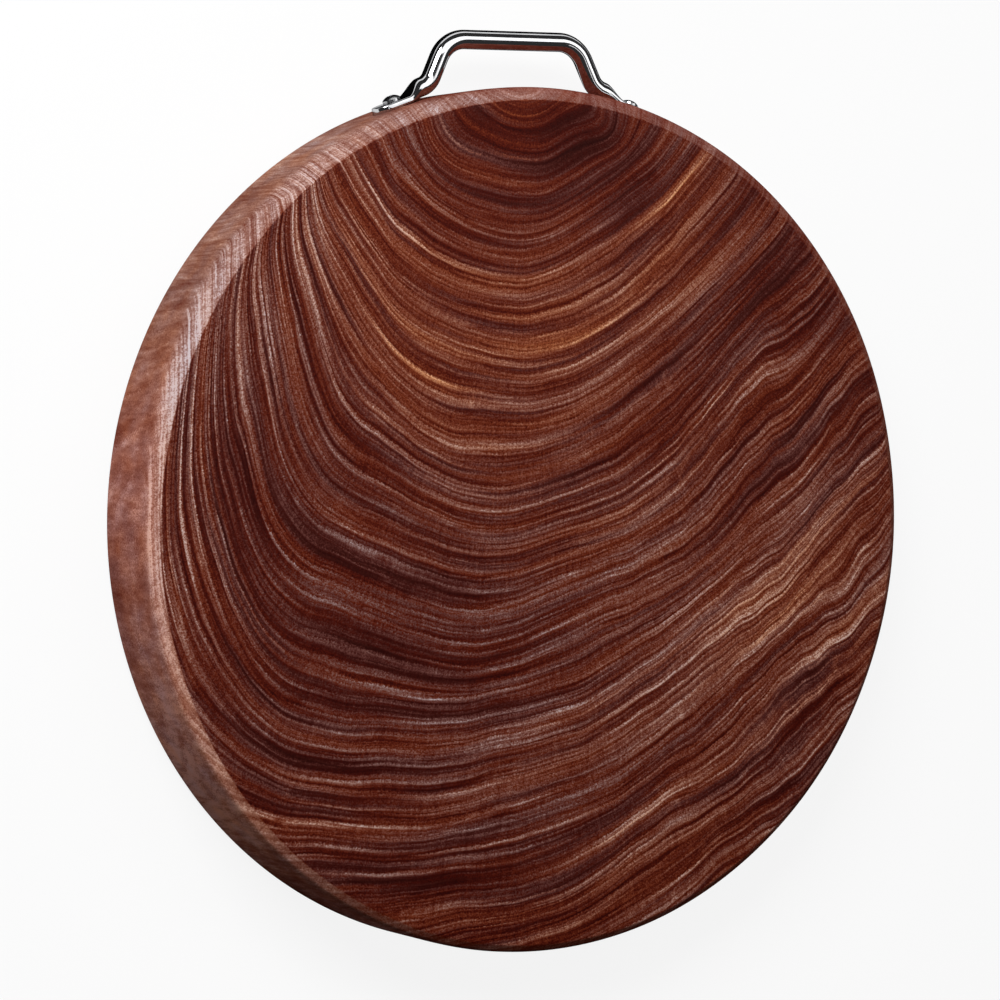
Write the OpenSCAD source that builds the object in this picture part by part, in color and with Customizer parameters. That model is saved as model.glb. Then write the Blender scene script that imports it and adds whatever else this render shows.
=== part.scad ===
// Round chopping block: one slice of hardwood with a steel carrying handle
// screwed to its rim. The block lies flat, underside at z = 0, handle towards +Y.

/* [Block] */
// Diameter of the round block
block_d = 380; // [300:5:450]
// Thickness of the block
block_h = 46; // [36:1:60]
// Width of the chamfer round the working face
top_chamfer_w = 5; // [2:0.5:8]
// Height of the same chamfer on the rim
top_chamfer_h = 4; // [2:0.5:8]
// Size of the chamfer round the underside
base_chamfer = 3; // [1:0.5:5]

/* [Handle] */
// Diameter of the bent steel rod
rod_d = 8.5; // [7:0.5:10]
// Height of the grip's centre line above the top of the rim
grip_rise = 21.2; // [19:0.2:29]
// Distance between the grip's two corners, measured on its centre line
grip_w = 66; // [58:1:72]
// Lean of each leg away from upright, in degrees
leg_lean = 25; // [16:1:28]
// Bend radius at the grip's corners
grip_bend_r = 14; // [9:0.5:16]
// Bend radius where a leg turns into its foot
foot_bend_r = 9; // [7:0.5:11]

/* [Feet] */
// Distance between the two lines where the feet touch the rim
foot_span = 130; // [126:1:150]
// Width of the flattened foot
foot_w = 12; // [10:0.5:14]
// Thickness of the flattened foot
foot_t = 3; // [2:0.25:4]
// How far a foot reaches past its touching line
foot_reach = 4; // [2:0.5:7]
// Length of the flat part of a foot; the rod flattens into it from the bend's end on
foot_flat_l = 16; // [13:0.5:17]
// Distance from a foot's outer end to its screw
screw_inset = 10; // [8:0.5:10]

/* [Screws] */
// Outside diameter of the thread
thread_d = 4; // [3.5:0.1:4.5]
// Core diameter under the thread
core_d = 2.8; // [2.4:0.1:3]
// Distance from one turn of the thread to the next
thread_pitch = 1.8; // [1.4:0.1:2.2]
// Length of a screw under its head
screw_l = 30; // [20:1:40]
// Length of the plain neck under the head
neck_l = 2.2; // [2.2:0.1:2.8]
// Length of the tapered point
point_l = 5; // [4:0.5:7]
// Diameter of the domed head
head_d = 8; // [7:0.25:9]
// Height of the head
head_h = 2.8; // [2.4:0.1:3.4]
// Height of the head's upright edge
head_edge_h = 1.2; // [0.6:0.1:1.6]
// Width of each arm of the cross recess
recess_w = 1.1; // [0.8:0.1:1.4]
// Depth of the cross recess
recess_depth = 1.9; // [1.4:0.1:2]
// Diameter of the cross recess at its mouth
recess_d = 4.8; // [4:0.2:5.4]

/* [Clearances] */
// Gap all round a screw in its hole through the foot
screw_gap = 0.25; // [0.1:0.05:0.5]
// Gap all round a screw's core in the wood; the thread bites past it
pilot_gap = 0.1; // [0.05:0.05:0.2]
// Depth left free under a screw's point
pilot_spare = 1; // [0.5:0.5:3]

/* [Hidden] */

WOOD = [0.42, 0.20, 0.15];
STEEL = [0.78, 0.79, 0.80];
LEFT = -1;
RIGHT = 1;

// Facets on round shapes, fine on the block and coarser on small parts
BLOCK_FN = 180;
ROD_FN = 48;
BEND_FN = 96;
HULL_FN = 32;

rim_r = block_d / 2;
mid_z = block_h / 2;

// A foot lies along the rim's tangent at its touching line
foot_angle = asin(foot_span / block_d);

// The rod's centre line, from the middle of the grip outwards
rod_r = rod_d / 2;
grip_y = rim_r + grip_rise;
grip_turn = 90 - leg_lean;
foot_turn = 90 - leg_lean - foot_angle;
grip_half = grip_w / 2 - grip_bend_r * tan(grip_turn / 2);
grip_bend_y = grip_y - grip_bend_r;
leg_x = grip_half + grip_bend_r * cos(leg_lean);
leg_y = grip_bend_y + grip_bend_r * sin(leg_lean);
leg_height = leg_x * sin(foot_angle) + leg_y * cos(foot_angle) - rim_r - rod_r;
leg_l = (leg_height - foot_bend_r * (1 - cos(foot_turn))) / sin(foot_turn);
foot_bend_x = leg_x + leg_l * sin(leg_lean) + foot_bend_r * cos(leg_lean);
foot_bend_y = leg_y - leg_l * cos(leg_lean) + foot_bend_r * sin(leg_lean);

// Places along a foot, measured outwards from its touching line. The rod stays round
// for a moment after its bend
ROUND_AFTER_BEND = 1;
bend_end = foot_bend_x * cos(foot_angle) - foot_bend_y * sin(foot_angle);
flat_start = foot_reach - foot_flat_l;
taper_start = bend_end + ROUND_AFTER_BEND;
screw_place = foot_reach - screw_inset;

// Each straight piece is a hair slimmer than the bends and runs a little way into
// them, so that neighbours join inside each other and not along a shared skin
SKIN = 0.03;
LAP = 0.4;
TAPER_LAP = 0.05;
straight_r = rod_r - SKIN;

// The thread is a strip of a few profile lines wound round the core. It starts inside
// the neck, a little over one turn up, so that its stepped end doesn't show
thread_r = thread_d / 2;
core_r = core_d / 2;
hole_r = thread_r + screw_gap;
neck_r = thread_r + SKIN;
pilot_r = core_r + pilot_gap;
pilot_l = screw_l - foot_t + pilot_spare;
THREAD_SIDES = 16;
PROFILE = [[0, 0], [0.5, 0], [0.75, 1]];
PROFILE_LINES = len(PROFILE);
BLUNT_SHARE = 0.06;
TURNS_IN_NECK = 1.15;
thread_top = neck_l - thread_pitch * TURNS_IN_NECK;
thread_steps = round(THREAD_SIDES * ((screw_l - thread_top) / thread_pitch - 1));
step_drop = (screw_l - thread_top) / (thread_steps + THREAD_SIDES);
turn_drop = step_drop * THREAD_SIDES;
RECESS_TIP_R = 0.6;
MARGIN = 1;

// Puts a child in a foot's own frame: x along the foot, z square out of the rim
module at_foot(side) {
    rotate([0, 0, -side * foot_angle])
        translate([0, rim_r, mid_z])
            rotate([-90, 0, 0])
                children();
}

module block_disc() {
    rotate_extrude($fn = BLOCK_FN)
        polygon([
            [0, 0],
            [rim_r - base_chamfer, 0],
            [rim_r, base_chamfer],
            [rim_r, block_h - top_chamfer_h],
            [rim_r - top_chamfer_w, block_h],
            [0, block_h]
        ]);
}

module pilot_hole(side) {
    at_foot(side)
        translate([side * screw_place, 0, -pilot_l])
            cylinder(h = pilot_l + MARGIN, r = pilot_r, $fn = ROD_FN);
}

module block() {
    color(WOOD)
        difference() {
            block_disc();
            pilot_hole(LEFT);
            pilot_hole(RIGHT);
        }
}

// An arc of the rod about the origin, from one angle on through another
module rod_bend(bend_r, start, turn) {
    rotate([0, 0, start])
        rotate_extrude(angle = turn, $fn = BEND_FN)
            translate([bend_r, 0])
                circle(r = rod_r, $fn = ROD_FN);
}

// A straight stretch of the rod along z that laps into what it joins
module rod_straight(l) {
    translate([0, 0, -LAP])
        cylinder(h = l + 2 * LAP, r = straight_r, $fn = ROD_FN);
}

module grip() {
    translate([-grip_half, grip_y, mid_z])
        rotate([0, 90, 0])
            rod_straight(2 * grip_half);
}

// One side of the rod: corner, leg and the bend into the foot
module leg() {
    translate([grip_half, grip_bend_y, mid_z])
        rod_bend(grip_bend_r, leg_lean, grip_turn);
    translate([leg_x, leg_y, mid_z])
        rotate([0, 0, leg_lean])
            rotate([90, 0, 0])
                rod_straight(leg_l);
    translate([foot_bend_x, foot_bend_y, mid_z])
        rod_bend(foot_bend_r, 180 + leg_lean, foot_turn);
}

module foot_outline() {
    round_x = foot_reach - foot_w / 2;
    translate([flat_start, -foot_w / 2])
        square([round_x - flat_start, foot_w]);
    translate([round_x, 0])
        circle(d = foot_w, $fn = ROD_FN);
}

// The round rod ends in a flat foot with a hole for its screw
module foot() {
    translate([bend_end, 0, rod_r])
        rotate([0, 90, 0])
            rod_straight(taper_start - bend_end - LAP);
    hull() {
        translate([taper_start - TAPER_LAP, 0, rod_r])
            rotate([0, 90, 0])
                cylinder(h = TAPER_LAP, r = straight_r - SKIN, $fn = HULL_FN);
        translate([flat_start, SKIN - foot_w / 2, SKIN])
            cube([TAPER_LAP, foot_w - 2 * SKIN, foot_t - 2 * SKIN]);
    }
    linear_extrude(foot_t)
        foot_outline();
}

module handle_side() {
    difference() {
        union() {
            leg();
            at_foot(RIGHT)
                foot();
        }
        at_foot(RIGHT)
            translate([screw_place, 0, -MARGIN])
                cylinder(h = foot_t + 2 * MARGIN, r = hole_r, $fn = ROD_FN);
    }
}

module handle() {
    color(STEEL) {
        grip();
        handle_side();
        mirror([1, 0, 0])
            handle_side();
    }
}

// Share of the full radius left at a depth under the head
function point_share(depth) = max(BLUNT_SHARE, min(1, (screw_l - depth) / point_l));

// A point of the thread: a step along the helix, and a line of its profile
function thread_point(step, line) =
    let (depth = thread_top + step * step_drop + PROFILE[line][0] * turn_drop,
         full_r = core_r + (thread_r - core_r) * PROFILE[line][1],
         r = full_r * point_share(depth),
         angle = -360 * step / THREAD_SIDES)
    [r * cos(angle), r * sin(angle), -depth];

// Number of a thread point; the line past the last one is the next turn's first
function thread_index(step, line) =
    line < PROFILE_LINES
        ? step * PROFILE_LINES + line
        : (step + THREAD_SIDES) * PROFILE_LINES;

module thread() {
    last = thread_steps + THREAD_SIDES;
    points = [
        for (step = [0:last], line = [0:PROFILE_LINES - 1])
            thread_point(step, line)
    ];
    strip = [
        for (step = [0:thread_steps - 1], line = [0:PROFILE_LINES - 1])
            let (a = thread_index(step, line),
                 b = thread_index(step + 1, line),
                 c = thread_index(step + 1, line + 1),
                 d = thread_index(step, line + 1))
            each [[a, c, b], [a, d, c]]
    ];
    // Each end is closed by a fan from a point on the axis
    top_loop = concat(
        [for (step = [0:THREAD_SIDES - 1]) thread_index(step, 0)],
        [for (line = [PROFILE_LINES:-1:1]) thread_index(0, line)]
    );
    end_loop = concat(
        [for (line = [0:PROFILE_LINES - 1]) thread_index(thread_steps, line)],
        [for (step = [last:-1:thread_steps + 1]) thread_index(step, 0)]
    );
    top = len(points);
    end = top + 1;
    centres = [[0, 0, -thread_top - turn_drop / 2], [0, 0, -screw_l]];
    polyhedron(
        points = concat(points, centres),
        faces = concat(
            strip,
            [for (i = [0:len(top_loop) - 1])
                [top, top_loop[i], top_loop[(i + 1) % len(top_loop)]]],
            [for (i = [0:len(end_loop) - 1])
                [end, end_loop[i], end_loop[(i + 1) % len(end_loop)]]]
        )
    );
}

module cross_recess() {
    translate([0, 0, head_h - recess_depth])
        intersection() {
            union() {
                for (turn = [0, 90])
                    rotate([0, 0, turn])
                        translate([-recess_d / 2, -recess_w / 2, 0])
                            cube([recess_d, recess_w, recess_depth + MARGIN]);
            }
            cylinder(h = recess_depth, r1 = RECESS_TIP_R, r2 = recess_d / 2, $fn = ROD_FN);
        }
}

// A flat seat, an upright edge and a shallow dome, with a cross recess
module screw_head() {
    dome_h = head_h - head_edge_h;
    dome_r = (pow(head_d / 2, 2) + pow(dome_h, 2)) / (2 * dome_h);
    difference() {
        intersection() {
            cylinder(h = head_h, d = head_d, $fn = ROD_FN);
            translate([0, 0, head_h - dome_r])
                sphere(r = dome_r, $fn = BEND_FN);
        }
        cross_recess();
    }
}

module screw(side) {
    color(STEEL)
        at_foot(side)
            translate([side * screw_place, 0, foot_t]) {
                screw_head();
                translate([0, 0, -neck_l])
                    cylinder(h = neck_l, r = neck_r, $fn = ROD_FN);
                thread();
            }
}

module left_screw() {
    screw(LEFT);
}

module right_screw() {
    screw(RIGHT);
}

block();
handle();
left_screw();
right_screw();
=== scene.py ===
from math import asin, ceil, cos, pi, radians, sin, tan

import bpy
import numpy as np
from mathutils import Matrix, Vector


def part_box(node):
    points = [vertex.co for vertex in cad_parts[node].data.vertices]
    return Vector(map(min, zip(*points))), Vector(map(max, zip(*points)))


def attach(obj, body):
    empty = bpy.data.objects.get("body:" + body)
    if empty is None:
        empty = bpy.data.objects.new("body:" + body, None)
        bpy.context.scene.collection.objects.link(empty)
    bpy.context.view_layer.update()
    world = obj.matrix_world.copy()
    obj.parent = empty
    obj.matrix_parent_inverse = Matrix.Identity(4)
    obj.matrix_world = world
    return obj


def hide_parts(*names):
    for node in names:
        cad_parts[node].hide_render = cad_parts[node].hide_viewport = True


# The dressed model of a round chopping block: one slice of hardwood with growth rings,
# a polished steel handle and two screws. Lengths are in metres and angles in degrees,
# unless a name says otherwise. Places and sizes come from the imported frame.

MM = 0.001

# Camera, fitted to the outline of the face, the rim and the handle in the photograph. The
# block stands turned a little in the plane of its face
CAMERA_TARGET = (-22.7 * MM, 9.4 * MM, 46 * MM)
CAMERA_DISTANCE = 1.704
CAMERA_LEFT = 29.8
CAMERA_UP = 1.65
CAMERA_FOCAL_PX = 3916
FRAME_PX = 1000
SENSOR_MM = 36
OBJECT_TURN = 1.0

# Block. Its top chamfer is sanded by hand: it is widest at the handle and deepest at the
# upper left, and rolls into the rim there
BASE_CHAMFER = 3 * MM
CHAMFER_W = 4.9 * MM
CHAMFER_W_MORE = 1.3 * MM
CHAMFER_WIDEST = 105
CHAMFER_H = 3.2 * MM
CHAMFER_H_MORE = 6.6 * MM
CHAMFER_DEEPEST = 130
CHAMFER_DEEP_SPREAD = 34
EDGE_ROUND = 0.5 * MM
ROLL_SHARE = 0.35
RIM_ROLL = 4 * MM
SECTORS = 400
FACE_STEP = 4 * MM
RIM_STEP = 3 * MM
BASE_CHAMFER_STEPS = 3
CHAMFER_STEPS = 4
ROUND_STEPS = 4

# The hand's sway in the chamfer: its share of the height, how many waves go round the
# block, and the angle in radians that the waves start at. The width sways half as much
SWAYS = [(0.05, 5, 0.7), (0.04, 11, 0.0)]
WIDTH_SWAY = 0.5

# Where the looks of the face end at the chamfer, and those of the chamfer at the rim. The
# rim's begin at a share of the chamfer's height below the face, and come in more slowly
# where the chamfer is shallow
FACE_EDGE_BLEND = 0.5 * MM
RIM_FROM_DEEP = 1.1
RIM_FROM_SHALLOW = 0.8
RIM_FROM_MORE = 0.5 * MM
RIM_BLEND_SHARE = 0.12
RIM_BLEND_MORE = 1.4 * MM

# Growth rings. A ring is named by its depth in millimetres under the pith, straight down
# the face, and a place along it by its sweep, the angle at the pith to the right of down.
# Right of the middle the rings dip towards the pith, in half a wave. Left of it they spread,
# past a starting ring, then close up to no less than a share of their spacing, and swell
# round one ring. The rate of the dip and the blend at the middle are for radians
PITH = (-5 * MM, 205 * MM)
RIGHT_DIP = 0.12
DIP_RATE = 2.4
LEFT_START = 112
LEFT_START_BLEND = 12
LEFT_SPREAD = 0.3
LEFT_CLOSE = 1.75
LEFT_CLOSE_FROM = 28
LEFT_CLOSE_BLEND = 3
LEFT_LEAST = 0.3
MIDDLE_BLEND = 0.1
SWELL = 22
SWELL_RING = 208
SWELL_WIDTH = 62
SWELL_FROM = 20
SWELL_TO = 52
SWELL_LOSS = 0.75
SWELL_BLEND = 4
DEEPEST_RING = 480
HALVINGS = 24
PITH_LEAN = 0.006

# Sweeps and rings over which the small waves of the rings come in, at the lower right
WAVER_SWEEPS = (8, 28)
WAVER_RINGS = (170, 250)

# Bends that the even rings lack: ring, sweep, half width in ring, half width in sweep and
# how many millimetres the rings move there
BENDS = [
    (64, -46, 20, 22, -6),
    (60, 50, 18, 12, -8),
    (126, 21, 18, 15, -6),
    (165, -30, 15, 16, 4),
    (200, -11, 90, 8, 3),
    (200, 12, 90, 10, -3),
    (205, 38, 26, 12, 2.5),
    (230, -44, 45, 17, -9),
    (240, -58, 50, 9, -12),
    (268, 32, 18, 14, -5),
    (322, 42, 25, 8, 8),
    (338, 25, 16, 9, 3),
    (328, 35, 16, 3, -3),
]

# Broad light and dark patches of the wood: ring, sweep, their half widths, how much
# lighter the wood is there in spreads of the figure, and how much more orange
PATCHES = [
    (30, 5, 12, 20, 0.0, 0.8),
    (36, -22, 16, 30, -0.9, 2.1),
    (40, 22, 18, 26, -1.3, 0.1),
    (55, 42, 16, 20, -1.4, -0.8),
    (68, -2, 22, 45, -0.5, 0.0),
    (77, -55, 16, 10, 0.5, -0.9),
    (83, 42, 12, 18, -0.9, -0.6),
    (101, -20, 5, 40, 1.0, 1.0),
    (100, 38, 6, 10, -0.9, 0.0),
    (106, 45, 4, 30, 1.1, 0.7),
    (114, 52, 7, 12, 0.9, 0.3),
    (117, 0, 10, 60, 0.1, 0.7),
    (130, 10, 5, 16, 0.8, 1.2),
    (128, 38, 8, 14, -0.3, 0.6),
    (139, -20, 14, 42, 0.5, 0.7),
    (142, -25, 8, 16, 0.6, 0.0),
    (142, 20, 8, 14, -0.6, 0.2),
    (154, -20, 4, 14, 0.4, 1.0),
    (153, 42, 4, 18, 1.8, 0.0),
    (160, -56, 22, 9, 1.0, -0.2),
    (170, 18, 10, 14, -0.5, 0.0),
    (170, -15, 12, 22, 0.6, 0.7),
    (180, -55, 16, 9, 0.3, 0.0),
    (183, 50, 14, 12, -1.0, -0.7),
    (190, 30, 16, 16, -0.4, -0.2),
    (194, -28, 8, 14, -0.7, -0.2),
    (199, -52, 8, 10, -1.3, -0.5),
    (212, -22, 7, 18, 0.5, -0.5),
    (212, 52, 12, 10, -1.4, -0.8),
    (221, 12, 4, 20, 0.2, 0.4),
    (219, -50, 34, 9, 0.7, -0.1),
    (235, -28, 7, 14, -1.4, -1.5),
    (240, -45, 10, 10, 1.2, 0.0),
    (240, 6, 7, 16, 0.8, -0.3),
    (256, -18, 13, 18, -1.4, -1.3),
    (262, -14, 42, 26, 0.0, -0.5),
    (273, -50, 20, 8, 0.6, 0.0),
    (282, -16, 9, 14, -2.0, -0.6),
    (284, 38, 10, 14, 1.1, 0.0),
    (298, 30, 6, 17, 1.1, 0.8),
    (300, 10, 58, 28, 0.4, -0.2),
    (296, 2, 8, 12, 0.9, 0.0),
    (306, -20, 6, 12, -1.0, -0.5),
    (317, 24, 11, 16, 1.1, 0.8),
    (333, 12, 4, 12, -0.8, -0.9),
    (345, -2, 18, 9, 0.5, -0.6),
    (348, -12, 14, 12, -1.6, 0.1),
    (348, 32, 5, 8, 1.0, 0.6),
    (362, 28, 8, 8, 0.1, 1.0),
    (384, 4, 14, 14, -0.6, 0.7),
]

# Single bright lines: ring, sweep where each starts and ends, width in millimetres,
# strength
LINES = [
    (62, -32, 12, 2.5, 0.7),
    (102, -55, 10, 1.2, 0.8),
    (106, 14, 60, 1.6, 1.0),
    (112, -60, -4, 0.8, 1.2),
    (125, -26, 0, 1.2, 1.2),
    (126, 0, 30, 1.8, 1.3),
    (132, 22, 46, 1.2, 0.8),
    (147, -30, 10, 1.0, 0.6),
    (154, -34, -10, 1.5, 1.4),
    (176, -4, 16, 1.0, 1.0),
    (194, 27, 48, 0.9, 1.3),
    (204, 20, 56, 0.7, 1.8),
    (207, 14, 46, 0.7, 2.0),
    (222, -16, 26, 1.1, 0.9),
    (264, 5, 32, 1.1, 1.1),
    (272, -42, -24, 1.1, 2.2),
    (275, -40, -26, 0.8, 1.2),
    (297, -18, 9, 1.2, 1.3),
    (300, 6, 46, 1.2, 1.0),
    (307, 8, 22, 1.1, 1.7),
    (329, 24, 41, 1.2, 1.7),
    (342, -9, 24, 1.2, 1.7),
    (352, 24, 37, 1.2, 1.3),
    (359, 4, 22, 1.2, 1.1),
    (375, -6, 14, 1.0, 0.9),
    (382, -4, 12, 1.2, 1.1),
]

# The bare wood of the sanded edge and the rim, with painted light and shade in it. The sanded
# wood is paler than the oiled face. On top of that, the chamfer is painted paler and greyer
# where the lamps glance off it at the upper left, a painted sheen, and darker at the right, a
# painted shade. The rim is painted paler at the lower left, where the lamps leave it in shade,
# and darker along the top, a painted shade that also darkens its reflection in the handle.
# Columns: an angle round the block, how much paler than the oiled face the chamfer is there,
# in spreads of the figure, how much more orange, and the same two for the rim
BARE_WOOD_AND_PAINTED_LIGHT = [
    (0, 0.4, 0.0, 2.3, 0.0),
    (45, 0.6, -0.4, 2.2, 0.0),
    (62, 1.1, -0.7, 1.2, 0.0),
    (75, 1.6, -0.8, 0.9, 0.1),
    (103, 2.7, -0.7, 0.9, 0.1),
    (113, 2.2, -0.6, 2.1, -0.2),
    (120, 2.3, -0.4, 2.5, -0.3),
    (127, 2.4, -0.5, 2.3, 0.1),
    (137, 2.2, -0.5, 2.1, -0.1),
    (147, 2.5, -0.7, 2.1, -0.2),
    (154, 3.1, -0.8, 2.2, 0.2),
    (161, 3.6, -1.0, 2.3, 0.3),
    (168, 3.1, -0.4, 2.0, 0.3),
    (175, 2.7, -0.1, 2.7, 0.1),
    (187, 3.4, -0.3, 2.0, 0.3),
    (194, 2.7, 0.3, 2.8, 0.0),
    (202, 1.9, 0.4, 3.1, 0.2),
    (212, 2.9, 0.2, 3.5, 0.2),
    (220, 1.7, 0.3, 3.3, 0.4),
    (235, 2.3, 0.0, 2.0, 0.3),
    (246, 0.8, 0.0, 2.2, 0.0),
    (262, 0.1, 0.0, 2.2, 0.0),
    (320, 0.1, 0.0, 2.3, 0.0),
]

# Handle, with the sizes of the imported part. A section of it is half its thickness, half its
# width and its corner radius
ROD_R = 4.25 * MM
ROD = (ROD_R, ROD_R, ROD_R)
GRIP_W = 66 * MM
LEG_LEAN = 25
GRIP_BEND_R = 14 * MM
FOOT_BEND_R = 9 * MM
FOOT_SPAN = 130 * MM
FOOT_W = 12 * MM
FOOT_T = 3 * MM
FOOT_REACH = 4 * MM
FOOT_FLAT_L = 16 * MM
ROUND_AFTER_BEND = 1 * MM
SCREW_INSET = 10 * MM
HOLE_R = 2.25 * MM
FOOT_CORNER = 0.9 * MM
SECTION_SIDES = 48
STRAIGHT_STEP = 3 * MM
BEND_STEP = 3
TAPER_STEPS = 10
FLAT_STEPS = 4
END_STEPS = 14
DRILL_SIDES = 48
DRILL_L = 12 * MM
SHARP_ANGLE = 40

# Noise as a material reads it lies about a half, with this spread
NOISE_SPREAD = 0.07

# Grain of the wood, as noise drawn out along the rings: its size across the rings, along
# them and through the block in millimetres, its detail and roughness, and its spread. The
# first two move the rings, by millimetres, and the others colour them
GRAIN = {
    "wander": (50, 60, 60, 0.0, 0.5, 0.9),
    "kinks": (60, 16, 40, 0.0, 0.5, 0.12),
    "bands": (7, 110, 60, 0.0, 0.5, 0.16),
    "lines": (2.6, 130, 50, 1.0, 0.7, 0.42),
    "threads": (1.2, 60, 30, 1.0, 0.6, 0.42),
    "warmth": (9, 70, 60, 1.0, 0.6, 0.38),
}
WAVER_KINKS = 1.5

# Veins, where drawn-out noise crosses its middle: sizes across, along and through, how far
# from the middle a vein reaches, and how light it is
DARK_VEINS = [(4, 150, 60, 0.03, -0.9), (2.4, 110, 60, 0.03, -0.7)]
PALE_VEINS = [(8, 150, 60, 0.016, 0.75)]

# A single line has a core and a wider, darker border. It comes in and goes out over a few
# degrees at its ends, and is weaker in patches
LINE_CORE = 1.35
LINE_BORDER = -0.35
LINE_BORDER_WIDTH = 3
LINE_END = 3.0
LINE_PATCHES = (30, 30, 40, 1.0)
LINE_PATCH_RANGE = (0.35, 0.6)
LINE_WEAKEST = 0.4

# Specks, pores and rays, and the blotches of the rim
SPECK = 0.9 * MM
SPECK_NOISE = (2.0, 0.7)
SPECK_SPREAD = 0.30
SPECK_SHIFT = 0.10
PORE = 0.6 * MM
PORE_RANGE = (0.39, 0.46)
PORE_TONE = -0.9
RAY_SWEEP = 0.35
RAY_RING = 9
RAY_Z = 9 * MM
RAY_SPREAD = 0.14
BLOTCH = 17 * MM
BLOTCH_SPREAD = 0.13
RUST = 11 * MM
RUST_SPREAD = 0.08

# Tone of the wood, in spreads of the figure. The figure is weaker on the sanded edge and on
# the rim, stronger down the face than at its top, and a little stronger at the left
FIGURE_ON_CHAMFER = 0.5
FIGURE_ON_RIM = 0.21
VIGOUR_RINGS = (70.0, 270.0)
VIGOUR = (0.8, 1.12)
LEFT_SWEEPS = (-45.0, -25.0)
LEFT_VIGOUR = 0.15
FIGURE_TONE = 0.25
SPECKLE_IN_FIGURE = 0.7
SPECKLE_KEPT = 0.3
TONE_RANGE = 7
WOOD_COLOURS = [
    (0.0, (38, 2, 0)),
    (0.25, (60, 11, 4)),
    (0.375, (75, 24, 15)),
    (0.5, (93, 40, 29)),
    (0.625, (115, 60, 45)),
    (0.75, (138, 88, 71)),
    (0.875, (168, 119, 100)),
    (1.0, (210, 170, 150)),
]

# Hue of the wood, from cool to warm: how far each part of the figure turns it, how strong
# that is from dark shades to light ones, and the tints at both ends of the range
HUE_OF_BANDS = 1.4
HUE_OF_PALE_LINES = 0.1
HUE_OF_THIN_LINES = -1.2
HUE_OF_SPECKLE = -1.4
HUE_SHADES = (0.25, 0.63)
HUE_STRENGTH = (1.75, 0.15)
WARMTH = -0.12
WARMTH_OF_PATCHES = 0.6
WARMTH_RANGE = (-0.8, 0.8)
COOL_TINT = (0.81, 1.09, 1.51, 1.0)
WARM_TINT = (1.17, 0.89, 0.49, 1.0)
NO_TINT = (1.0, 1.0, 1.0, 1.0)
# A redder tint painted on the rim away from its lit upper left, for the colour of shade
PAINTED_SHADE_RED_TINT = (1.12, 0.88, 0.95, 1.0)

# Finish of the wood
WOOD_ROUGHNESS = (0.46, 0.58)
FACE_SPECULAR = 0.08
LINES_HEIGHT = 0.3
THREADS_HEIGHT = 0.4
WOOD_BUMP = 0.25
WOOD_BUMP_DEPTH = 0.12 * MM

# Steel of the handle and of the screws: colour, roughness and strength of the fine marks.
# Both are smeared a little darker and rougher in places
HANDLE_STEEL = ((214, 214, 216), 0.07, 0.05)
SCREW_STEEL = ((196, 196, 198), 0.22, 0.25)
SMEAR = 9 * MM
SMEAR_NOISE = (3.0, 0.6)
SMEAR_RANGE = (0.3, 0.7)
SMEAR_DARKENS = 0.93
SMEAR_ROUGHNESS = 0.04
MARK = 0.5 * MM
MARK_NOISE = (2.0, 0.6)
MARK_DEPTH = 0.02 * MM
# A dark tint of the steel's reflections at grazing angles: a painted dark reflection along the
# edges of the rod and the screws
STEEL_PAINTED_DARK_EDGE_TINT = (0.35, 0.35, 0.36, 1.0)

# Lamps: the way to each from the block, its distance, its width and height, and radiance
LAMPS = {
    "key": ((-0.49, 0.565, 0.66), 1.6, (0.75, 0.75), 15.0),
    "overhead": ((0.25, 0.52, 0.82), 1.4, (1.5, 0.55), 1.8),
    "slim": ((0.20, -0.12, 0.97), 1.5, (0.10, 0.9), 1.8),
}
WORLD_LIGHT = 0.035

# Floor: its half width, how far it lies under the block, its grey for the lamps and for
# light that comes back from the block, and its white as seen
FLOOR_HALF_W = 8.0
FLOOR_BELOW = 0.2 * MM
FLOOR_GREY = 0.85
FLOOR_BOUNCE = 0.25
FLOOR_SEEN = 0.88

# Cards that show only in the polish of the steel: a black one on the floor behind the
# handle, a low white one beyond it and a white strip above it. Each has its reach along x,
# y and z, its grey of 0 to 255 and its strength
CARDS = {
    "dark_card": ((-0.30, 0.40), (0.19, 0.34), (0.5 * MM, 0.5 * MM), 12, 1.0),
    "white_card": ((-0.5, 1.6), (1.2, 1.2), (0, 0.15), 255, 1.3),
    "strip_card": ((-0.1, 1.5), (0.15, 0.40), (1.3, 1.3), 255, 1.3),
}


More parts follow.
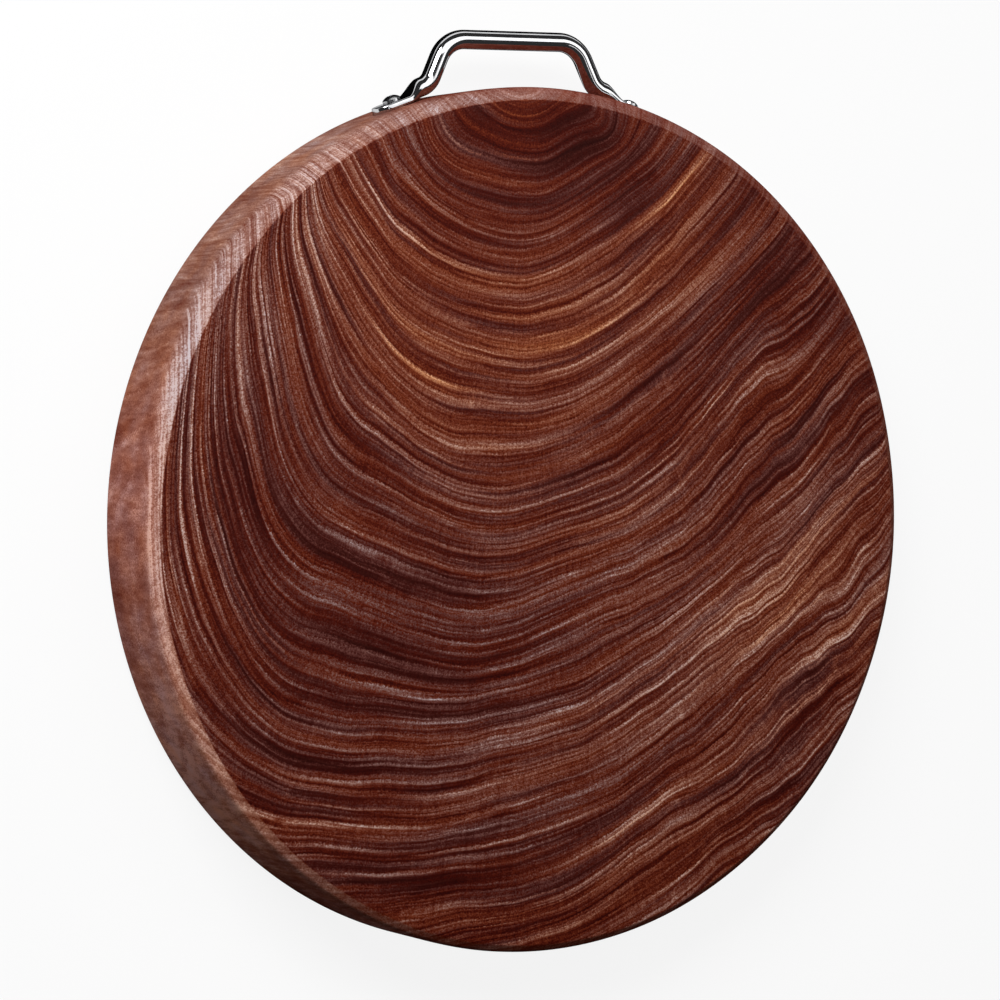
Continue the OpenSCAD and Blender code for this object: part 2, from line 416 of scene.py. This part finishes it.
class Graph:
    """A material and short ways to add nodes to it. Values are numbers or sockets."""

    def __init__(self, name):
        self.material = bpy.data.materials.new(name)
        self.material.use_nodes = True
        self.tree = self.material.node_tree
        self.tree.nodes.clear()
        self.output = self.tree.nodes.new("ShaderNodeOutputMaterial")

    def put(self, value, socket):
        if isinstance(value, bpy.types.NodeSocket):
            self.tree.links.new(value, socket)
        else:
            socket.default_value = value

    def node(self, kind, inputs=(), **settings):
        made = self.tree.nodes.new(kind)
        for name, value in settings.items():
            setattr(made, name, value)
        for name, value in dict(inputs).items():
            self.put(value, made.inputs[name])
        return made

    def math(self, operation, *values):
        made = self.tree.nodes.new("ShaderNodeMath")
        made.operation = operation
        for socket, value in zip(made.inputs, values):
            self.put(value, socket)
        return made.outputs[0]

    def add(self, *values):
        total = values[0]
        for value in values[1:]:
            total = self.math("ADD", total, value)
        return total

    def scale(self, value, factor):
        return self.math("MULTIPLY", value, factor)

    def range(self, value, low, high, to_low=0.0, to_high=1.0, smooth=True):
        made = self.node(
            "ShaderNodeMapRange",
            {1: low, 2: high, 3: to_low, 4: to_high},
            interpolation_type="SMOOTHSTEP" if smooth else "LINEAR",
        )
        self.put(value, made.inputs[0])
        return made.outputs[0]

    def vector(self, x, y, z):
        return self.node("ShaderNodeCombineXYZ", {0: x, 1: y, 2: z}).outputs[0]

    def noise(self, vector, scale=1.0, detail=2.0, roughness=0.5):
        form = {"Vector": vector, "Scale": scale, "Detail": detail, "Roughness": roughness}
        return self.node("ShaderNodeTexNoise", form).outputs["Fac"]

    def attribute(self, name):
        return self.node("ShaderNodeAttribute", attribute_name=name).outputs["Fac"]

    def mix(self, factor, a, b, blend="MIX"):
        """A mix of two colours. The node has its sockets for colours after the others."""
        made = self.node("ShaderNodeMix", data_type="RGBA", blend_type=blend)
        for value, socket in zip((factor, a, b), (made.inputs[0], *made.inputs[6:8])):
            self.put(value, socket)
        return made.outputs[2]

    def ramp(self, value, stops):
        made = self.node("ShaderNodeValToRGB", {"Fac": value})
        elements = made.color_ramp.elements
        elements[0].position, elements[1].position = stops[0][0], stops[-1][0]
        elements[0].color, elements[1].color = srgb(stops[0][1]), srgb(stops[-1][1])
        for place, colour in stops[1:-1]:
            elements.new(place).color = srgb(colour)
        return made.outputs["Color"]

    def bump(self, height, strength, distance):
        made = self.node(
            "ShaderNodeBump",
            {"Height": height, "Strength": strength, "Distance": distance},
        )
        return made.outputs["Normal"]

    def surface(self, inputs):
        shader = self.node("ShaderNodeBsdfPrincipled", inputs)
        self.tree.links.new(shader.outputs[0], self.output.inputs["Surface"])
        return self.material


def srgb(colour):
    """A colour of 0 to 255 a channel, as the linear values that a shader takes."""
    shares = [c / 255 for c in colour]
    linear = [s / 12.92 if s <= 0.04045 else ((s + 0.055) / 1.055) ** 2.4 for s in shares]
    return (*linear, 1.0)


def new_object(name, vertices, faces):
    mesh = bpy.data.meshes.new(name)
    mesh.from_pydata([tuple(v) for v in vertices], [], faces)
    mesh.validate()
    made = bpy.data.objects.new(name, mesh)
    bpy.context.scene.collection.objects.link(made)
    return made


def soft_max(value, blend):
    """Zero below zero and the value above it, with a rounded corner between."""
    return blend * np.logaddexp(0, value / blend)


def step(value, at, blend):
    """Zero below a place and one above it, with a smooth change between."""
    return 1 / (1 + np.exp((at - value) / blend))


def share_between(value, low, high):
    """Zero up to a place, one past another and even between them."""
    return np.clip((value - low) / (high - low), 0, 1)


def ring_radius(ring, sweep):
    """How far a ring lies from the pith at a sweep: millimetres, and radians."""
    right, left = soft_max(sweep, MIDDLE_BLEND), soft_max(-sweep, MIDDLE_BLEND)
    dip = RIGHT_DIP * np.sin(DIP_RATE * np.minimum(right, pi / DIP_RATE))
    closed = soft_max(left - radians(LEFT_CLOSE_FROM), radians(LEFT_CLOSE_BLEND))
    rate = np.maximum(LEFT_SPREAD * left - LEFT_CLOSE * closed, LEFT_LEAST - 1)
    turned = np.degrees(left)
    hump = step(turned, SWELL_FROM, SWELL_BLEND)
    hump = hump * (1 - SWELL_LOSS * step(turned, SWELL_TO, SWELL_BLEND))
    swell = SWELL * np.exp(-(((ring - SWELL_RING) / SWELL_WIDTH) ** 2))
    past_start = soft_max(ring - LEFT_START, LEFT_START_BLEND)
    return ring * (1 - dip) + rate * past_start - swell * hump


def rings_at(points):
    """The ring and the sweep in degrees of points in the wood, one row each."""
    x, y, z = points.T
    lean = 1 + PITH_LEAN * (z - z.max()) / np.ptp(z)
    across, down = x - PITH[0], PITH[1] - y
    distance = np.hypot(across, down) * lean / MM
    sweep = np.arctan2(across, down)
    low, high = np.zeros(len(points)), np.full(len(points), float(DEEPEST_RING))
    for _ in range(HALVINGS):
        middle = (low + high) / 2
        inside = ring_radius(middle, sweep) < distance
        low, high = np.where(inside, middle, low), np.where(inside, high, middle)
    ring, turned = middle, np.degrees(sweep)
    shift = sum(move * patch(ring, turned, *place) for *place, move in BENDS)
    return ring + shift, turned


def patch(ring, sweep, at_ring, at_sweep, half_ring, half_sweep):
    """One at the middle of a patch of the wood, falling to zero round it."""
    away = ((ring - at_ring) / half_ring) ** 2 + ((sweep - at_sweep) / half_sweep) ** 2
    return np.exp(-away)


def edge_shares(points, angle, radius, height):
    """How far each point belongs to the sanded edge and, further down, to the rim."""
    width, drop = chamfer_sizes(angle)
    inward = radius - np.hypot(points[:, 0], points[:, 1])
    side = share_between(width - inward, -FACE_EDGE_BLEND / 2, FACE_EDGE_BLEND / 2)
    deep, shallow = depth_share(angle), 1 - depth_share(angle)
    start = (RIM_FROM_DEEP * deep + RIM_FROM_SHALLOW * shallow) * drop
    start = start + RIM_FROM_MORE * shallow
    blend = RIM_BLEND_SHARE * drop + RIM_BLEND_MORE * shallow
    return side, step(height - points[:, 2], start, blend)


def write_wood_marks(mesh, radius, height):
    """Each point's place in the growth rings and its looks, for the wood's material: how light
    and how warm it is, how much the rings waver, how bare the sanded edge is, and the painted
    light and shade on the chamfer and the rim, with a redder tint painted on the rim's shade."""
    points = np.array([v.co for v in mesh.vertices])
    ring, sweep = rings_at(points)
    patches = [(patch(ring, sweep, *place), light, more) for *place, light, more in PATCHES]
    angle = np.arctan2(points[:, 1], points[:, 0]) % (2 * pi)
    side, on_rim = edge_shares(points, angle, radius, height)
    turns, *looks = zip(*BARE_WOOD_AND_PAINTED_LIGHT)
    looks = [np.interp(np.degrees(angle), turns, look, period=360) for look in looks]
    # Paleness of the chamfer and the rim: bare wood, with painted sheen and painted shade by
    # the angle round the block
    pale_and_painted_light, warm = [looks[k] * (1 - on_rim) + looks[k + 2] * on_rim for k in (0, 1)]
    marks = {
        "ring": ring,
        "sweep": sweep,
        "light": sum(share * light for share, light, _ in patches),
        "warm": (1 - side) * sum(share * more for share, _, more in patches) + side * warm,
        "waver": share_between(sweep, *WAVER_SWEEPS) * share_between(ring, *WAVER_RINGS),
        "side": side,
        "rim": side * on_rim,
        # Where the rim gets its painted redder shade: all of it but the lit upper left
        "painted_shade_redness": side * on_rim * (1 - depth_share(angle)),
        "pale_and_painted_light": side * pale_and_painted_light,
    }
    for name, values in marks.items():
        made = mesh.attributes.new(name, "FLOAT", "POINT")
        made.data.foreach_set("value", values.astype(np.float32))


def depth_share(angle):
    """One where the hand-sanded chamfer is deepest, falling to zero round the block."""
    away = (np.degrees(angle) - CHAMFER_DEEPEST) / CHAMFER_DEEP_SPREAD
    return np.exp(-(away**4))


def chamfer_sizes(angle):
    """Width and height of the hand-sanded chamfer at an angle round the face."""
    sway = sum(share * np.sin(waves * angle + start) for share, waves, start in SWAYS)
    width = CHAMFER_W + CHAMFER_W_MORE * np.cos(angle - radians(CHAMFER_WIDEST))
    height = CHAMFER_H + CHAMFER_H_MORE * depth_share(angle)
    return width * (1 + WIDTH_SWAY * sway), height * (1 + sway)


def straight(a, b, steps):
    """Points from a up to but not at b, for one or several angles at once."""
    return [a + (b - a) * k / steps for k in range(steps)]


def corner(before, at, after, sizes):
    """A rounded corner as a short curve of a few points, with its size on each side."""
    ways = [p - at for p in (before, after)]
    start, end = [at + w * k / np.linalg.norm(w, axis=0) for w, k in zip(ways, sizes)]
    shares = [k / ROUND_STEPS for k in range(ROUND_STEPS + 1)]
    return [(1 - t) ** 2 * start + 2 * t * (1 - t) * at + t**2 * end for t in shares]


def block_profile(radius, height, angles):
    """Rings of points from the middle of the underside to the middle of the face. Each is
    an array of distance from the axis and height, one column for each angle."""
    ones = np.ones(len(angles))
    width, drop = chamfer_sizes(angles)
    corners = [
        np.array([0 * ones, 0 * ones]),
        np.array([(radius - BASE_CHAMFER) * ones, 0 * ones]),
        np.array([radius * ones, BASE_CHAMFER * ones]),
        np.array([radius * ones, height - drop]),
        np.array([radius - width, height * ones]),
        np.array([0 * ones, height * ones]),
    ]
    across = ceil(radius / FACE_STEP)
    steps = [across, BASE_CHAMFER_STEPS, ceil(height / RIM_STEP), CHAMFER_STEPS, across]
    even, roll = (EDGE_ROUND, EDGE_ROUND), EDGE_ROUND + ROLL_SHARE * drop
    sizes = [even, even, (roll + RIM_ROLL * (1 - depth_share(angles)), roll), even]
    bends = [corner(*corners[i : i + 3], size) for i, size in enumerate(sizes)]
    ends = [[corners[0]], *bends, [corners[-1]]]
    rings = []
    for k, count in enumerate(steps):
        rings += ends[k][1:-1] if k else []
        rings += straight(ends[k][-1], ends[k + 1][0], count)
    return rings + [corners[-1]]


def make_block(material):
    low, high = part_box("block")
    radius, height = high.x, high.z - low.z
    angles = np.arange(SECTORS) * 2 * pi / SECTORS
    rings = block_profile(radius, height, angles)
    points = [(0.0, 0.0, low.z)]
    for out, up in rings[1:-1]:
        points += zip(out * np.cos(angles), out * np.sin(angles), low.z + up)
    points.append((0.0, 0.0, high.z))
    last, top = len(points) - 1, len(points) - 1 - SECTORS
    faces = []
    for i in range(SECTORS):
        j = (i + 1) % SECTORS
        faces.append((0, 1 + j, 1 + i))
        faces.append((last, top + i, top + j))
        for start in range(1, top, SECTORS):
            faces.append((start + i, start + j, start + SECTORS + j, start + SECTORS + i))
    made = new_object("chopping_block", points, faces)
    made.data.shade_smooth()
    write_wood_marks(made.data, radius, high.z)
    made.data.materials.append(material)
    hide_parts("block")
    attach(made, "root")


def straight_rod(start, end):
    """Stations along a straight stretch of the rod, up to but not at its end."""
    way = end - start
    count = max(2, ceil(way.length / STRAIGHT_STEP))
    return [(start + way * k / count, way.normalized(), ROD) for k in range(count)]


def bent_rod(centre, radius, start, turn):
    """Stations round a bend of the rod, up to but not at its end. Angles are in radians."""
    stations = []
    count = max(2, ceil(abs(turn) / radians(BEND_STEP)))
    for k in range(count):
        a = start + turn * k / count
        side = Vector((cos(a), sin(a), 0))
        way = Vector((-side.y, side.x, 0)) * (1 if turn > 0 else -1)
        stations.append((centre + side * radius, way, ROD))
    return stations


def handle_stations(rim_r, grip_y, mid_z):
    """Stations along the right half of the handle, from the middle of the grip to the end
    of the foot: centre, direction, half thickness, half width and corner radius."""
    foot_angle = asin(FOOT_SPAN / 2 / rim_r)
    lean = radians(LEG_LEAN)
    grip_turn, foot_turn = pi / 2 - lean, pi / 2 - lean - foot_angle
    grip_half = GRIP_W / 2 - GRIP_BEND_R * tan(grip_turn / 2)
    bend_y = grip_y - GRIP_BEND_R
    leg_x, leg_y = grip_half + GRIP_BEND_R * cos(lean), bend_y + GRIP_BEND_R * sin(lean)
    leg_rise = leg_x * sin(foot_angle) + leg_y * cos(foot_angle) - rim_r - ROD_R
    leg_l = (leg_rise - FOOT_BEND_R * (1 - cos(foot_turn))) / sin(foot_turn)
    low_x = leg_x + leg_l * sin(lean) + FOOT_BEND_R * cos(lean)
    low_y = leg_y - leg_l * cos(lean) + FOOT_BEND_R * sin(lean)
    bend_end = low_x * cos(foot_angle) - low_y * sin(foot_angle)
    leg_top, down_leg = Vector((leg_x, leg_y, mid_z)), Vector((sin(lean), -cos(lean), 0))
    return [
        *straight_rod(Vector((0, grip_y, mid_z)), Vector((grip_half, grip_y, mid_z))),
        *bent_rod(Vector((grip_half, bend_y, mid_z)), GRIP_BEND_R, pi / 2, -grip_turn),
        *straight_rod(leg_top, leg_top + leg_l * down_leg),
        *bent_rod(Vector((low_x, low_y, mid_z)), FOOT_BEND_R, pi + lean, foot_turn),
        *foot_stations(rim_r, mid_z, foot_angle, bend_end),
    ]


def foot_stations(rim_r, mid_z, foot_angle, bend_end):
    """Stations along the right foot, from its bend to its round end. Places along it are
    counted from where it would touch the rim."""
    along = Vector((cos(foot_angle), -sin(foot_angle), 0))
    out = Vector((sin(foot_angle), cos(foot_angle), 0))
    seat = out * rim_r + Vector((0, 0, mid_z))
    flat_start = FOOT_REACH - FOOT_FLAT_L
    taper_start = bend_end + ROUND_AFTER_BEND
    start, end = [seat + along * k + out * ROD_R for k in (bend_end, taper_start)]
    stations = straight_rod(start, end)
    for place in foot_places(taper_start, flat_start):
        section = foot_section(place, taper_start, flat_start)
        stations.append((seat + along * place + out * section[0], along, section))
    return stations


def foot_places(taper_start, flat_start):
    """Places along a foot, closer together towards its round end."""
    round_start = FOOT_REACH - FOOT_W / 2
    taper = np.linspace(taper_start, flat_start, TAPER_STEPS, endpoint=False)
    flat = np.linspace(flat_start, round_start, FLAT_STEPS, endpoint=False)
    turns = np.linspace(0, pi / 2, END_STEPS)
    return [*taper, *flat, *(round_start + FOOT_W / 2 * np.sin(turns))]


def foot_section(place, taper_start, flat_start):
    """Half thickness, half width and corner radius of the foot at a place along it."""
    share = min(max((place - taper_start) / (flat_start - taper_start), 0), 1)
    share = share * share * (3 - 2 * share)
    thick = ROD_R + (FOOT_T / 2 - ROD_R) * share
    wide = ROD_R + (FOOT_W / 2 - ROD_R) * share
    round_corner = ROD_R + (FOOT_CORNER - ROD_R) * share
    past = max(place - (FOOT_REACH - FOOT_W / 2), 0)
    wide = max(min(wide, ((FOOT_W / 2) ** 2 - past**2) ** 0.5 if past else wide), 0)
    return thick, wide, min(round_corner, thick)


def section_points(thick, wide, round_corner):
    """A rounded rectangle round its middle, as (across, up) pairs. Its corners shrink with
    its width, so that the end of the foot closes in a line."""
    corner_w = min(round_corner, wide)
    points = []
    for k in range(SECTION_SIDES):
        a = (k + 0.5) * 2 * pi / SECTION_SIDES
        across = (thick - round_corner) * np.sign(cos(a)) + round_corner * cos(a)
        up = (wide - corner_w) * np.sign(sin(a)) + corner_w * sin(a)
        points.append((across, up))
    return points


def make_handle(material):
    rim_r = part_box("block")[1].x
    low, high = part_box("handle")
    mid_z = (low.z + high.z) / 2
    half = handle_stations(rim_r, high.y - ROD_R, mid_z)
    flip = Vector((-1, 1, 1))
    mirrored = [(c * flip, -(w * flip), s) for c, w, s in reversed(half[1:])]
    points = []
    for centre, way, section in mirrored + half:
        side = Vector((-way.y, way.x, 0))
        for across, up in section_points(*section):
            points.append(centre + side * across + Vector((0, 0, up)))
    count, n = len(mirrored) + len(half), SECTION_SIDES
    faces = [tuple(range(n))[::-1], tuple(range((count - 1) * n, count * n))]
    for k in range(count - 1):
        for i in range(n):
            j = (i + 1) % n
            faces.append((k * n + i, k * n + j, (k + 1) * n + j, (k + 1) * n + i))
    made = new_object("carrying_handle", points, faces)
    drill_feet(made, rim_r, mid_z)
    made.data.shade_smooth()
    made.data.set_sharp_from_angle(angle=radians(SHARP_ANGLE))
    made.data.materials.append(material)
    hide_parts("handle")
    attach(made, "root")


def drill_feet(handle, rim_r, mid_z):
    """Cuts the screw holes through both feet, with a drill longer than they are thick."""
    foot_angle = asin(FOOT_SPAN / 2 / rim_r)
    for side in (-1, 1):
        along = Vector((side * cos(foot_angle), -sin(foot_angle), 0))
        out = Vector((side * sin(foot_angle), cos(foot_angle), 0))
        middle = out * (rim_r + FOOT_T / 2) + along * (FOOT_REACH - SCREW_INSET)
        bpy.ops.mesh.primitive_cylinder_add(
            vertices=DRILL_SIDES, radius=HOLE_R, depth=DRILL_L
        )
        drill = bpy.context.object
        turned = out.to_track_quat("Z", "Y").to_matrix().to_4x4()
        drill.matrix_world = Matrix.Translation(middle + Vector((0, 0, mid_z))) @ turned
        cut = handle.modifiers.new("hole", "BOOLEAN")
        cut.object, cut.operation, cut.solver = drill, "DIFFERENCE", "EXACT"
        apply_modifiers(handle)
        bpy.data.objects.remove(drill)


def apply_modifiers(target):
    graph = bpy.context.evaluated_depsgraph_get()
    mesh = bpy.data.meshes.new_from_object(target.evaluated_get(graph))
    target.modifiers.clear()
    target.data = mesh


class WoodGraph(Graph):
    """The wood's material, with noise drawn out along the growth rings of the mesh."""

    def __init__(self, name):
        super().__init__(name)
        self.place = self.node("ShaderNodeTexCoord").outputs["Object"]
        self.z = self.node("ShaderNodeSeparateXYZ", {0: self.place}).outputs["Z"]
        self.ring, self.sweep = self.attribute("ring"), self.attribute("sweep")
        self.along = self.math("MULTIPLY", self.ring, self.scale(self.sweep, pi / 180))
        self.side, self.rim = self.attribute("side"), self.attribute("rim")

    def spread(self, value, amount):
        """Noise moved to lie about zero, with the spread asked for."""
        return self.scale(self.math("SUBTRACT", value, 0.5), amount / NOISE_SPREAD)

    def drawn(self, ring, ring_mm, along_mm, z_mm, detail=0.0, roughness=0.5):
        """Noise drawn out along the rings, with its grain size in each direction."""
        vector = self.vector(
            self.scale(ring, 1 / ring_mm),
            self.scale(self.along, 1 / along_mm),
            self.scale(self.z, 1 / (z_mm * MM)),
        )
        return self.noise(vector, 1.0, detail, roughness)

    def grain(self, ring, kind):
        *form, amount = GRAIN[kind]
        return self.spread(self.drawn(ring, *form), amount)

    def vein(self, ring, ring_mm, along_mm, z_mm, reach, light):
        """Thin lines where drawn-out noise crosses its middle."""
        off = self.math("SUBTRACT", self.drawn(ring, ring_mm, along_mm, z_mm), 0.5)
        return self.range(self.math("ABSOLUTE", off), 0.0, reach, light, 0.0)

    def rim_patches(self, size, amount):
        """Soft patches that lie on the rim only."""
        patches = self.spread(self.noise(self.place, 1 / size, 1.0), amount)
        return self.math("MULTIPLY", self.rim, patches)


def wavering_rings(g, specks):
    """The rings with the small bends that they have everywhere, and more of them where the
    mesh says so."""
    kinks = g.grain(g.ring, "kinks")
    more = g.scale(g.math("MULTIPLY", g.attribute("waver"), kinks), WAVER_KINKS)
    shift = g.spread(specks, SPECK_SHIFT)
    return g.add(g.ring, g.grain(g.ring, "wander"), kinks, more, shift)


def single_line(g, rings, at, start, end, width, strength):
    off = g.math("ABSOLUTE", g.math("SUBTRACT", rings, float(at)))
    core = g.range(off, 0.0, width, LINE_CORE, 0.0)
    border = g.range(off, 0.0, LINE_BORDER_WIDTH * width, LINE_BORDER, 0.0)
    begun = g.range(g.sweep, start - LINE_END, start + LINE_END)
    ended = g.range(g.sweep, end - LINE_END, end + LINE_END, 1.0, 0.0)
    there = g.math("MULTIPLY", begun, g.scale(ended, strength))
    return g.math("MULTIPLY", g.add(core, border), there)


def single_lines(g, rings):
    total = g.add(*[single_line(g, rings, *line) for line in LINES])
    patches = g.drawn(g.ring, *LINE_PATCHES)
    return g.math("MULTIPLY", total, g.range(patches, *LINE_PATCH_RANGE, LINE_WEAKEST, 1.0))


def wood_speckle(g, specks):
    pores = g.range(g.noise(g.place, 1 / PORE, 0.0), *PORE_RANGE, PORE_TONE, 0.0)
    return g.add(g.spread(specks, SPECK_SPREAD), pores)


def wood_shade(g, kept, speckle, *figure):
    """How light the wood is, from zero to one."""
    vigour = g.range(g.ring, *VIGOUR_RINGS, *VIGOUR, smooth=False)
    vigour = g.add(vigour, g.range(g.sweep, *LEFT_SWEEPS, LEFT_VIGOUR, 0.0))
    figure = g.add(*figure, g.scale(speckle, SPECKLE_IN_FIGURE))
    figure = g.add(g.math("MULTIPLY", vigour, figure), g.attribute("light"), FIGURE_TONE)
    ray_place = g.vector(
        g.scale(g.sweep, 1 / RAY_SWEEP), g.scale(g.ring, 1 / RAY_RING), g.scale(g.z, 1 / RAY_Z)
    )
    tone = g.add(
        g.math("MULTIPLY", kept, figure),
        g.scale(speckle, SPECKLE_KEPT),
        g.spread(g.noise(ray_place), RAY_SPREAD),
        # Paleness of the bare edge, partly painted light and shade on the chamfer and the rim
        g.attribute("pale_and_painted_light"),
        g.rim_patches(BLOTCH, BLOTCH_SPREAD),
    )
    return g.add(0.5, g.scale(tone, 1 / TONE_RANGE))


def wood_tint(g, kept, shade, hue):
    """What the colour is multiplied by: cool to warm, and a redder tint on the rim away from
    its lit upper left, painted to stand for the colour of shade.
    """
    strength = g.range(shade, *HUE_SHADES, *HUE_STRENGTH, smooth=False)
    hue = g.math("MULTIPLY", hue, g.math("MULTIPLY", kept, strength))
    patches = g.scale(g.attribute("warm"), WARMTH_OF_PATCHES)
    warmth = g.add(WARMTH, patches, hue, g.rim_patches(RUST, RUST_SPREAD))
    warmth = g.range(warmth, *WARMTH_RANGE, 0.0, 1.0, smooth=False)
    # Painted shade: the rim is tinted redder away from its lit upper left
    shade_redness = g.mix(g.attribute("painted_shade_redness"), NO_TINT, PAINTED_SHADE_RED_TINT)
    return g.mix(1.0, g.mix(warmth, COOL_TINT, WARM_TINT), shade_redness, "MULTIPLY")


def wood_material():
    g = WoodGraph("hardwood")
    specks = g.noise(g.place, 1 / SPECK, *SPECK_NOISE)
    rings, speckle = wavering_rings(g, specks), wood_speckle(g, specks)
    bands, lines, threads = [g.grain(rings, kind) for kind in ("bands", "lines", "threads")]
    thin = g.add(threads, *[g.vein(rings, *vein) for vein in DARK_VEINS])
    pale_lines = g.add(*[g.vein(rings, *vein) for vein in PALE_VEINS], single_lines(g, rings))
    on_side = g.scale(g.side, FIGURE_ON_CHAMFER - 1)
    kept = g.add(1.0, on_side, g.scale(g.rim, FIGURE_ON_RIM - FIGURE_ON_CHAMFER))
    shade = wood_shade(g, kept, speckle, bands, lines, thin, pale_lines)
    hue = g.add(
        g.grain(rings, "warmth"),
        g.scale(bands, HUE_OF_BANDS),
        g.scale(pale_lines, HUE_OF_PALE_LINES),
        g.scale(thin, HUE_OF_THIN_LINES),
        g.scale(speckle, HUE_OF_SPECKLE),
    )
    tint = wood_tint(g, kept, shade, hue)
    height = g.add(g.scale(lines, LINES_HEIGHT), g.scale(threads, THREADS_HEIGHT), speckle)
    return g.surface(
        {
            "Base Color": g.mix(1.0, g.ramp(shade, WOOD_COLOURS), tint, "MULTIPLY"),
            "Roughness": g.range(shade, 0.0, 1.0, *WOOD_ROUGHNESS, smooth=False),
            "Specular IOR Level": g.range(g.side, 0.0, 1.0, FACE_SPECULAR, 0.0, smooth=False),
            "Normal": g.bump(height, WOOD_BUMP, WOOD_BUMP_DEPTH),
        }
    )


def steel_material(name, colour, roughness, marks):
    g = Graph(name)
    place = g.node("ShaderNodeTexCoord").outputs["Object"]
    smear = g.noise(place, 1 / SMEAR, *SMEAR_NOISE)
    fine = g.noise(place, 1 / MARK, *MARK_NOISE)
    smeared = srgb([c * SMEAR_DARKENS for c in colour])
    wear = g.add(roughness - SMEAR_ROUGHNESS / 2, g.scale(smear, SMEAR_ROUGHNESS))
    return g.surface(
        {
            "Base Color": g.mix(g.range(smear, *SMEAR_RANGE), srgb(colour), smeared),
            "Metallic": 1.0,
            "Roughness": wear,
            # Painted dark reflection at the steel's grazing edges
            "Specular Tint": STEEL_PAINTED_DARK_EDGE_TINT,
            "Normal": g.bump(fine, marks, MARK_DEPTH),
        }
    )


def dress_screws(material):
    for name in ("left_screw", "right_screw"):
        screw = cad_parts[name]
        screw.data.materials.clear()
        screw.data.materials.append(material)


def make_camera():
    left, up = radians(CAMERA_LEFT), radians(CAMERA_UP)
    back = Vector((-sin(left) * cos(up), sin(up), cos(left) * cos(up)))
    target = Vector(CAMERA_TARGET)
    side = Vector((0, 1, 0)).cross(back).normalized()
    upward = back.cross(side)
    axes = Matrix((side, upward, back)).transposed().to_4x4()
    data = bpy.data.cameras.new("camera")
    data.sensor_width = SENSOR_MM
    data.lens = CAMERA_FOCAL_PX / FRAME_PX * SENSOR_MM
    camera = bpy.data.objects.new("camera", data)
    placed = Matrix.Translation(target + back * CAMERA_DISTANCE) @ axes
    camera.matrix_world = Matrix.Rotation(-radians(OBJECT_TURN), 4, "Z") @ placed
    bpy.context.scene.collection.objects.link(camera)
    bpy.context.scene.camera = camera


def soft_box(name, way, distance, size, radiance):
    """A rectangular lamp that faces the block. Its power gives the radiance asked for."""
    data = bpy.data.lights.new(name, "AREA")
    data.shape = "RECTANGLE"
    data.size, data.size_y = size
    data.energy = radiance * size[0] * size[1] * pi
    lamp = bpy.data.objects.new(name, data)
    back = Vector(way).normalized()
    turned = back.to_track_quat("Z", "Y").to_matrix().to_4x4()
    lamp.matrix_world = Matrix.Translation(back * distance) @ turned
    bpy.context.scene.collection.objects.link(lamp)


def make_lights():
    for name, lamp in LAMPS.items():
        soft_box(name, *lamp)
    world = bpy.data.worlds.new("studio")
    world.use_nodes = True
    background = world.node_tree.nodes["Background"]
    background.inputs["Color"].default_value = (1, 1, 1, 1)
    background.inputs["Strength"].default_value = WORLD_LIGHT
    bpy.context.scene.world = world


def rectangle(name, x, y, z):
    """A flat rectangle: x runs along its first side, and y and z along its second."""
    ends = [(x[0], 0), (x[1], 0), (x[1], 1), (x[0], 1)]
    return new_object(name, [(across, y[k], z[k]) for across, k in ends], [(0, 1, 2, 3)])


def make_floor():
    reach = (-FLOOR_HALF_W, FLOOR_HALF_W)
    floor = rectangle("floor", reach, reach, (-FLOOR_BELOW, -FLOOR_BELOW))
    g = Graph("pale_floor")
    seen = g.node("ShaderNodeLightPath").outputs
    shown = g.math("MAXIMUM", seen["Is Camera Ray"], seen["Is Glossy Ray"])
    shown = g.math("MAXIMUM", shown, seen["Is Transmission Ray"])
    lit, bounced = [(grey, grey, grey, 1) for grey in (FLOOR_GREY, FLOOR_BOUNCE)]
    bounce = g.mix(seen["Is Diffuse Ray"], lit, bounced)
    matt = g.node("ShaderNodeBsdfDiffuse", {"Color": bounce})
    white = g.node("ShaderNodeEmission", {"Color": (1, 1, 1, 1), "Strength": 1.0})
    blend = g.node("ShaderNodeMixShader", {0: g.scale(shown, FLOOR_SEEN)})
    g.tree.links.new(matt.outputs[0], blend.inputs[1])
    g.tree.links.new(white.outputs[0], blend.inputs[2])
    g.tree.links.new(blend.outputs[0], g.output.inputs["Surface"])
    floor.data.materials.append(g.material)


def make_card(name, x, y, z, grey, strength):
    card = rectangle(name, x, y, z)
    card.visible_camera = card.visible_diffuse = card.visible_shadow = False
    card.visible_transmission = card.visible_volume_scatter = False
    g = Graph(name)
    inputs = {"Color": srgb((grey, grey, grey)), "Strength": strength}
    glow = g.node("ShaderNodeEmission", inputs)
    g.tree.links.new(glow.outputs[0], g.output.inputs["Surface"])
    card.data.materials.append(g.material)


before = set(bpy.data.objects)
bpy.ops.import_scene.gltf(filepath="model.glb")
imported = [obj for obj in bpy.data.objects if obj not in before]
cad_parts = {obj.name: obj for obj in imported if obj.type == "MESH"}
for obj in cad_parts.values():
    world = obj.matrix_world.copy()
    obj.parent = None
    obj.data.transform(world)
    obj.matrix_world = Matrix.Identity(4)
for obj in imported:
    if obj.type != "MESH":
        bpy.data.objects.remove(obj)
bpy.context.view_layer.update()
make_camera()
make_block(wood_material())
make_handle(steel_material("polished_steel", *HANDLE_STEEL))
dress_screws(steel_material("screw_steel", *SCREW_STEEL))
make_floor()
for name, card in CARDS.items():
    make_card(name, *card)
make_lights()
bpy.context.scene.view_settings.view_transform = "Standard"
